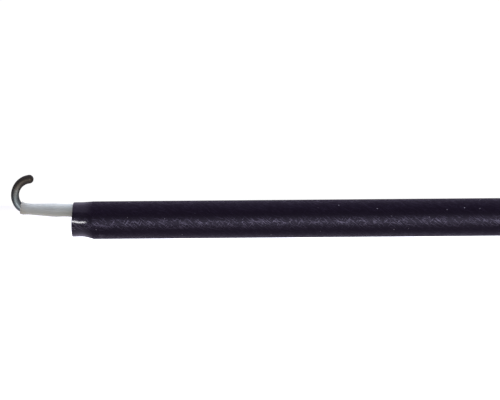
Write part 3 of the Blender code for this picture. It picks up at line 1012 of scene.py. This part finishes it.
@dataclass
class Grip:
    """The flat moulded grip with its rounded edges and thumb grooves."""

    layout: Layout
    stations: tuple[float, ...] = (-28, -23, -15, -6, 6, 16, 23, 28)
    half_widths: tuple[float, ...] = (4.9, 5.9, 6.4, 6.7, 7.0, 6.7, 6.0, 5.2)  # at the stations
    edge: float = 2.2
    least_corner: float = 0.4
    front_gap: float = 0.36
    rear_gap: float = 0.52
    end_run: float = 2.0  # at each end, where the rings crowd together
    end_rings: int = 14
    crowding: float = 1.6
    ring_step: float = 0.12
    front_bore: float = 3.9
    middle_bore: float = 3.0
    rear_bore: float = 4.1
    shoulder: float = -16.0
    block_rear: float = 19.0
    grooves: int = 6
    groove_centre: float = -9.5
    groove_pitch: float = 2.4
    groove_radius: float = 1.0
    groove_depth: float = 0.5
    groove_half_width: float = 4.3
    groove_fade: float = 0.35
    corner_points: int = 14
    flat_points: int = 24

    def half_width(self, x: float) -> float:
        """The grip's half-width at x, along a smooth line through its stations."""
        xs, ws = np.array(self.stations, float), np.array(self.half_widths)
        slopes = np.gradient(ws, xs)
        n = int(np.clip(np.searchsorted(xs, x) - 1, 0, len(xs) - 2))
        gap = xs[n + 1] - xs[n]
        t = float(np.clip((x - xs[n]) / gap, 0, 1))
        rise = (2 * t**3 - 3 * t**2 + 1) * ws[n] + (t**3 - 2 * t**2 + t) * gap * slopes[n]
        return rise + (-2 * t**3 + 3 * t**2) * ws[n + 1] + (t**3 - t**2) * gap * slopes[n + 1]

    def pull_in(self, x: float) -> float:
        """How far the rounded front and rear edges pull the section in at x."""
        depth = min(x - self.layout.grip_front, self.layout.grip_rear - x)
        if depth >= self.edge:
            return 0.0
        return self.edge - math.sqrt(max(self.edge**2 - (self.edge - depth) ** 2, 0.0))

    def groove_at(self, x: float) -> float:
        """The depth of the thumb grooves at x."""
        sink = self.groove_radius - self.groove_depth
        deepest = 0.0
        for n in range(self.grooves):
            away = x - self.groove_centre - self.groove_pitch * (n - (self.grooves - 1) / 2)
            if abs(away) < self.groove_radius:
                deepest = max(deepest, math.sqrt(self.groove_radius**2 - away**2) - sink)
        return deepest

    def section(self, half_width: float, half_height: float, corner: float) -> np.ndarray:
        """A rounded rectangle.

        Args:
            half_width: Half its width along Y.
            half_height: Half its height along Z.
            corner: The rounding of its corners.

        Returns:
            Its (y, z) points, turning from +Y to +Z.
        """
        flat_y, flat_z = half_width - corner, half_height - corner
        points = []
        for quarter, (sign_y, sign_z) in enumerate(((1, 1), (-1, 1), (-1, -1), (1, -1))):
            turn = quarter * math.pi / 2
            for n in range(self.corner_points + 1):
                angle = turn + math.pi / 2 * n / self.corner_points
                y = sign_y * flat_y + corner * math.cos(angle)
                points.append((y, sign_z * flat_z + corner * math.sin(angle)))
            y, z = points[-1]
            end_y, end_z = (-sign_y * flat_y, z) if quarter % 2 == 0 else (y, -sign_z * flat_z)
            for n in range(1, self.flat_points):
                share = n / self.flat_points
                points.append((y + (end_y - y) * share, z + (end_z - z) * share))
        return np.array(points)

    def outer_ring(self, x: float) -> np.ndarray:
        """The grip's outer ring at x, in millimetres, with the grooves pressed in."""
        inward = self.pull_in(x)
        half_height = self.layout.axis - inward
        corner = max(self.edge - inward, self.least_corner)
        section = self.section(self.half_width(x) - inward, half_height, corner)
        depth = self.groove_at(x)
        for side in Side:
            on_flat = section[:, 1] * side.value > half_height - 0.05
            fade = np.clip((self.groove_half_width - np.abs(section[:, 0])) / self.groove_fade, 0, 1)
            section[on_flat, 1] -= side.value * depth * fade[on_flat]
        return np.column_stack((np.full(len(section), x), section[:, 0], section[:, 1] + self.layout.axis))

    def bore_ring(self, x: float, radius: float, like: np.ndarray) -> np.ndarray:
        """A ring of the bore at x, whose points lie under those of an outer ring."""
        angles = np.arctan2(like[:, 2] - self.layout.axis, like[:, 1])
        y, z = radius * np.cos(angles), self.layout.axis + radius * np.sin(angles)
        return np.column_stack((np.full(len(like), x), y, z))

    def build(self) -> bpy.types.Object:
        """Builds the grip with its stepped bore.

        Returns:
            The grip's object.
        """
        front, rear = self.layout.grip_front + self.front_gap, self.layout.grip_rear - self.rear_gap
        crowd = [self.end_run * (n / self.end_rings) ** self.crowding for n in range(self.end_rings + 1)]
        middle = np.arange(front + self.end_run, rear - self.end_run, self.ring_step)
        places = [*(front + away for away in crowd[:-1]), *middle, *(rear - away for away in reversed(crowd))]
        outer = [self.outer_ring(x) for x in places]
        like = self.outer_ring(0.0)
        bore = [
            (rear, self.rear_bore),
            (self.block_rear, self.rear_bore),
            (self.block_rear, self.middle_bore),
            (self.shoulder, self.middle_bore),
            (self.shoulder, self.front_bore),
            (front, self.front_bore),
        ]
        inner = [self.bore_ring(x, radius, like) for x, radius in bore]
        return mesh_from_rings("grip", np.array([*outer, *inner]) * MM, Ends.JOINED)

    def dress(self, piece: bpy.types.Object) -> None:
        """Gives the grip its pebbled black finish."""
        finish = MouldedPolyamide(name="moulded_polyamide_pebbled_black", slot="grip_plastic")
        settle(piece, "grip_body", finish)


@dataclass
class FrontCollar:
    """The screw-in collar: a tapered nose and a fluted rim for the fingers."""

    layout: Layout
    length: float = 10.0
    bore: float = 2.53
    seat: float = 3.7
    spigot: float = 3.85
    rim: float = 4.45
    flutes: int = 12
    flute_radius: float = 0.55
    flute_reach: float = 4.75  # from the axis to the centre of a flute's round floor
    flute_length: float = 5.4
    flute_fade: float = 0.5
    inner_length: float = 6.4  # of the spigot in the grip's bore
    fineness: tuple[float, float, int] = (0.14, 0.25, 240)

    def fluted(self, along: float, radius: float, angles: np.ndarray) -> np.ndarray:
        """The collar's radius with the flutes pressed into its rim.

        Args:
            along: Where the ring lies.
            radius: The plain radius there.
            angles: The ring's angles.

        Returns:
            The radius at each angle.
        """
        start = self.layout.grip_front - self.flute_length
        plain = np.full(len(angles), radius)
        if not start < along < self.layout.grip_front or radius < self.bore + 0.6:
            return plain
        pitch = FULL_TURN / self.flutes
        away = angles % pitch - pitch / 2
        side = self.flute_reach * np.sin(away)
        sunk = self.flute_reach * np.cos(away) - np.sqrt(np.maximum(self.flute_radius**2 - side**2, 0))
        floor = np.where(np.abs(side) < self.flute_radius, sunk, radius)
        fade = eased(along, start, self.flute_fade)
        return np.where(floor < radius, radius + (floor - radius) * fade, radius)

    def build(self) -> bpy.types.Object:
        """Builds the collar.

        Returns:
            The collar's object.
        """
        front, back = self.layout.grip_front - self.length, self.layout.grip_front
        end = back + self.inner_length
        outline = [
            (front + 1.0, self.bore),
            (front, self.bore),
            (front, 2.95),
            (front + 0.4, 3.25),
            (front + 4.5, 3.95),
            (front + 5.0, self.rim),
            (back - 0.5, self.rim),
            (back - 0.05, 4.15),
            (back - 0.05, self.spigot),
            (end, self.spigot),
            (end, self.seat),
            (end - 1.4, self.seat),
            (end - 1.4, self.bore),
        ]
        axis = self.layout.axis
        return turned("front_collar_turned", outline, axis, self.fineness, Ends.JOINED, self.fluted)

    def dress(self, piece: bpy.types.Object) -> None:
        """Gives the collar its pebbled black finish."""
        finish = MouldedPolyamide(
            name="moulded_polyamide_collar_black", slot="grip_plastic", body="#151418", pebble=0.12
        )
        settle(piece, "front_collar", finish)


@dataclass
class RearCap:
    """The screw-in rear cap round the foot of the pin."""

    layout: Layout
    bore: float = 2.02
    spigot: float = 4.05
    rim: float = 4.8
    fineness: tuple[float, float, int] = (0.2, 0.6, 128)

    def build(self) -> bpy.types.Object:
        """Builds the cap.

        Returns:
            The cap's object.
        """
        rear = self.layout.grip_rear
        outline = [
            (rear - 7.35, self.bore + 0.1),
            (rear - 7.35, self.spigot),
            (rear + 0.05, self.spigot),
            (rear + 0.05, 4.5),
            (rear + 0.4, self.rim),
            (rear + 2.2, self.rim),
            (rear + 2.8, 4.2),
            (rear + 4.6, 3.5),
            (rear + 5.0, 3.1),
            (rear + 5.0, self.bore),
            (rear + 3.0, self.bore),
        ]
        return turned("rear_cap_turned", outline, self.layout.axis, self.fineness, Ends.JOINED)

    def dress(self, piece: bpy.types.Object) -> None:
        """Gives the cap its pebbled black finish."""
        finish = MouldedPolyamide(
            name="moulded_polyamide_cap_black", slot="grip_plastic", body="#151418", pebble=0.12
        )
        settle(piece, "rear_cap", finish)


@dataclass
class ConnectorPin:
    """The 4 mm pin, with its flange and tail inside the grip."""

    layout: Layout
    radius: float = 2.0
    end: float = 48.0
    tail_end: float = 13.0
    tail: float = 1.48
    flange_front: float = 19.05
    flange_rear: float = 20.6
    flange: float = 3.6
    fineness: tuple[float, float, int] = (0.15, 1.0, 128)

    def build(self) -> bpy.types.Object:
        """Builds the pin.

        Returns:
            The pin's object.
        """
        outline = [
            (self.tail_end, NEAR_AXIS),
            (self.tail_end, self.tail),
            (self.flange_front, self.tail),
            (self.flange_front, self.flange),
            (self.flange_rear, self.flange),
            (self.flange_rear, self.radius),
            (self.end - 0.75, self.radius),
            (self.end - 0.2, 1.75),
            (self.end, 1.35),
            (self.end, NEAR_AXIS),
        ]
        return turned("connector_pin_turned", outline, self.layout.axis, self.fineness, Ends.CAPPED)

    def dress(self, piece: bpy.types.Object) -> None:
        """Gives the pin its nickel plating."""
        finish = TurnedMetal(
            name="nickel_plated_brass_turned",
            slot="plated_brass",
            clean="#D9D6CF",
            tarnished="#B9B19F",
            roughness=(0.12, 0.26),
        )
        settle(piece, "connector_pin", finish)


PEEK = PlainPolymer("turned_peek_natural", "insulator_plastic")
SILICONE = PlainPolymer(
    "moulded_silicone_red", "seal_rubber", body="#8E3A2C", mottled="#752C22", roughness=(0.5, 0.7)
)
BRASS = TurnedMetal("turned_brass", "brass")
STAINLESS = TurnedMetal(
    "drawn_stainless_tube", "tube_steel", clean="#C4C5C6", tarnished="#A5A4A0", marks=(0.3, 8.0, 8.0)
)
STEEL = TurnedMetal("machined_steel_screw", "screw_steel", clean="#A9AAAD", tarnished="#7F8084")


@dataclass
class InnerPieces:
    """The pieces inside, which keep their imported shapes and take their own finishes."""

    plan: tuple[tuple[Finish, tuple[str, ...]], ...] = (
        (PEEK, ("nose_insulator", "rod_spacer_1", "rod_spacer_2", "rod_spacer_3", "tube_end_bush")),
        (SILICONE, ("shaft_seal", "rear_seal")),
        (BRASS, ("shaft_ferrule", "contact_block")),
        (STAINLESS, ("shaft_tube", "conductor_rod")),
        (STEEL, ("wire_screw_front", "wire_screw_rear")),
    )

    def dress(self) -> None:
        """Gives each inner piece its finish."""
        for finish, names in self.plan:
            material = finish.build()
            for name in names:
                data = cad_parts[name].data
                data.materials.clear()
                data.materials.append(material)
                LOG.info("%s: packed shape, in %s", name, finish.name)


# ---- studio


@dataclass(frozen=True)
class SoftBox:
    """A rectangular soft box."""

    name: str
    place: Point3  # from the point that it faces, in metres
    size: Span  # its width along X and its height, in metres
    radiance: float
    colour: str
    seen_by: Bounce

    def hang(self, aim: Vector) -> None:
        """Hangs the box in the scene, out of the camera's sight.

        Args:
            aim: The point that it faces, in metres.
        """
        data = bpy.data.lights.new(self.name, "AREA")
        data.shape = "RECTANGLE"
        data.size, data.size_y = self.size
        data.energy = self.radiance * math.pi * self.size[0] * self.size[1]
        data.color = linear(self.colour)[:3]
        light = bpy.data.objects.new(self.name, data)
        bpy.context.scene.collection.objects.link(light)
        light.location = aim + Vector(self.place)
        light.rotation_euler = (aim - light.location).to_track_quat("-Z", "Y").to_euler()
        light.visible_camera = False
        light.visible_glossy = self.seen_by is not Bounce.DIFFUSE
        light.visible_diffuse = self.seen_by is not Bounce.GLOSSY


@dataclass
class Studio:
    """A white seamless floor and backdrop with soft boxes above and in front."""

    layout: Layout
    view_width: float = 66.2
    distance: float = 190.0
    sensor: float = 36.0
    aim_behind_mouth: float = 23.38
    aim_above_axis: float = 2.51
    roll: float = math.radians(0.47)
    floor_glow: float = 0.72
    floor_half_width: float = 3.0  # metres
    strip_angle: float = math.radians(20.5)  # below the shaft
    strip_distance: float = 0.40  # metres

    def place_camera(self) -> None:
        """Places the camera square to the shaft, at the height of the hook."""
        data = bpy.data.cameras.new("camera")
        data.sensor_width = self.sensor
        data.lens = self.sensor * self.distance / self.view_width
        data.clip_start = 0.004
        camera = bpy.data.objects.new("camera", data)
        bpy.context.scene.collection.objects.link(camera)
        x = (self.layout.mouth + self.aim_behind_mouth) * MM
        z = (self.layout.axis + self.aim_above_axis) * MM
        camera.location = (x, -self.distance * MM, z)
        camera.rotation_euler = (math.pi / 2, self.roll, 0)
        bpy.context.scene.camera = camera

    def lay_floor(self) -> None:
        """Lays a wide matt white floor that the instrument rests on."""
        mesh = bpy.data.meshes.new("floor")
        half = self.floor_half_width
        corners = [(-half, -half, 0), (half, -half, 0), (half, half, 0), (-half, half, 0)]
        mesh.from_pydata(corners, [], [(0, 1, 2, 3)])
        floor = bpy.data.objects.new("floor", mesh)
        bpy.context.scene.collection.objects.link(floor)
        paper = bpy.data.materials.new("matt_white_paper")
        paper.use_nodes = True
        tree = paper.node_tree
        grain = add_node(tree, "ShaderNodeTexNoise", {"Scale": 30.0, "Detail": 2.0}).outputs["Fac"]
        stops = [(0.3, "#F4F4F5"), (0.7, "#F8F8F9")]
        shade = add_node(tree, "ShaderNodeValToRGB", {0: grain}, stops).outputs[0]
        inputs = {"Base Color": shade, "Roughness": 0.9, "Specular IOR Level": 0.1}
        inputs |= {"Emission Color": linear("#FFFFFF"), "Emission Strength": self.floor_glow}
        fill(tree, tree.nodes["Principled BSDF"], inputs)
        mesh.materials.append(paper)
        floor.visible_glossy = False
        floor.visible_diffuse = False
        floor.visible_shadow = False

    def hang_lights(self) -> None:
        """Hangs a wide box overhead, a narrow one that is only mirrored, and soft fills from all round."""
        aim = Vector((-0.10, 0, self.layout.axis * MM))
        down, back = (self.strip_distance * f(self.strip_angle) for f in (math.sin, math.cos))
        for box in (
            SoftBox("overhead_box", (0.0, 0.03, 0.45), (1.3, 0.9), 0.60, "#E6DEFF", Bounce.BOTH),
            SoftBox("front_box", (0.12, -back, -down), (0.8, 0.1), 24.0, "#FFFFFF", Bounce.GLOSSY),
            SoftBox("ceiling_fill", (0.0, 0.05, 0.5), (1.0, 0.5), 1.75, "#EDF4FF", Bounce.DIFFUSE),
            SoftBox("front_fill", (0.0, -0.5, 0.0), (1.0, 0.8), 0.18, "#FFFFFF", Bounce.DIFFUSE),
            SoftBox("table_bounce", (0.0, 0.05, -0.4), (1.3, 0.9), 0.54, "#FFF1E2", Bounce.DIFFUSE),
            SoftBox("table_sheen", (0.0, 0.06, -0.4), (1.3, 0.9), 0.70, "#E8E0FF", Bounce.GLOSSY),
        ):
            box.hang(aim)

    def light_backdrop(self) -> None:
        """Makes the surroundings white to the eye, and brighter behind the object than in front of it."""
        world = bpy.data.worlds.new("white_studio")
        world.use_nodes = True
        tree = world.node_tree
        tree.nodes.clear()
        facing = add_node(tree, "ShaderNodeTexCoord").outputs["Generated"]
        behind = add_node(tree, "ShaderNodeSeparateXYZ", {0: facing}).outputs["Y"]
        ends = {"Value": behind, "From Min": -0.1, "From Max": 0.9, "To Min": 0.19, "To Max": 0.6}
        glow = add_node(tree, "ShaderNodeMapRange", ends, interpolation_type="SMOOTHSTEP").outputs[0]
        lit = add_node(tree, "ShaderNodeBackground", {"Color": linear("#EDE8FF"), "Strength": glow})
        white = add_node(tree, "ShaderNodeBackground", {"Color": linear("#FFFFFF"), "Strength": 1.05})
        seen = add_node(tree, "ShaderNodeLightPath").outputs["Is Camera Ray"]
        mixed = add_node(tree, "ShaderNodeMixShader", {0: seen, 1: lit.outputs[0], 2: white.outputs[0]})
        add_node(tree, "ShaderNodeOutputWorld", {0: mixed.outputs[0]})
        bpy.context.scene.world = world

    def build(self) -> None:
        """Sets up the camera, the floor, the lights and the backdrop."""
        self.place_camera()
        self.lay_floor()
        self.hang_lights()
        self.light_backdrop()
        bpy.context.scene.view_settings.view_transform = "Standard"


def main() -> None:
    """Builds and dresses every piece in order, then the studio."""
    layout = Layout.from_frame()
    line = BentWire(layout)
    for maker in (
        Hook(layout, line),
        RodSleeve(layout, line),
        ShaftSkin(layout),
        FrontCollar(layout),
        Grip(layout),
        RearCap(layout),
        ConnectorPin(layout),
    ):
        maker.dress(maker.build())
    InnerPieces().dress()
    Studio(layout).build()


if __name__ == "__main__":
    logging.basicConfig(level=logging.INFO, format="%(name)s: %(message)s")
    main()
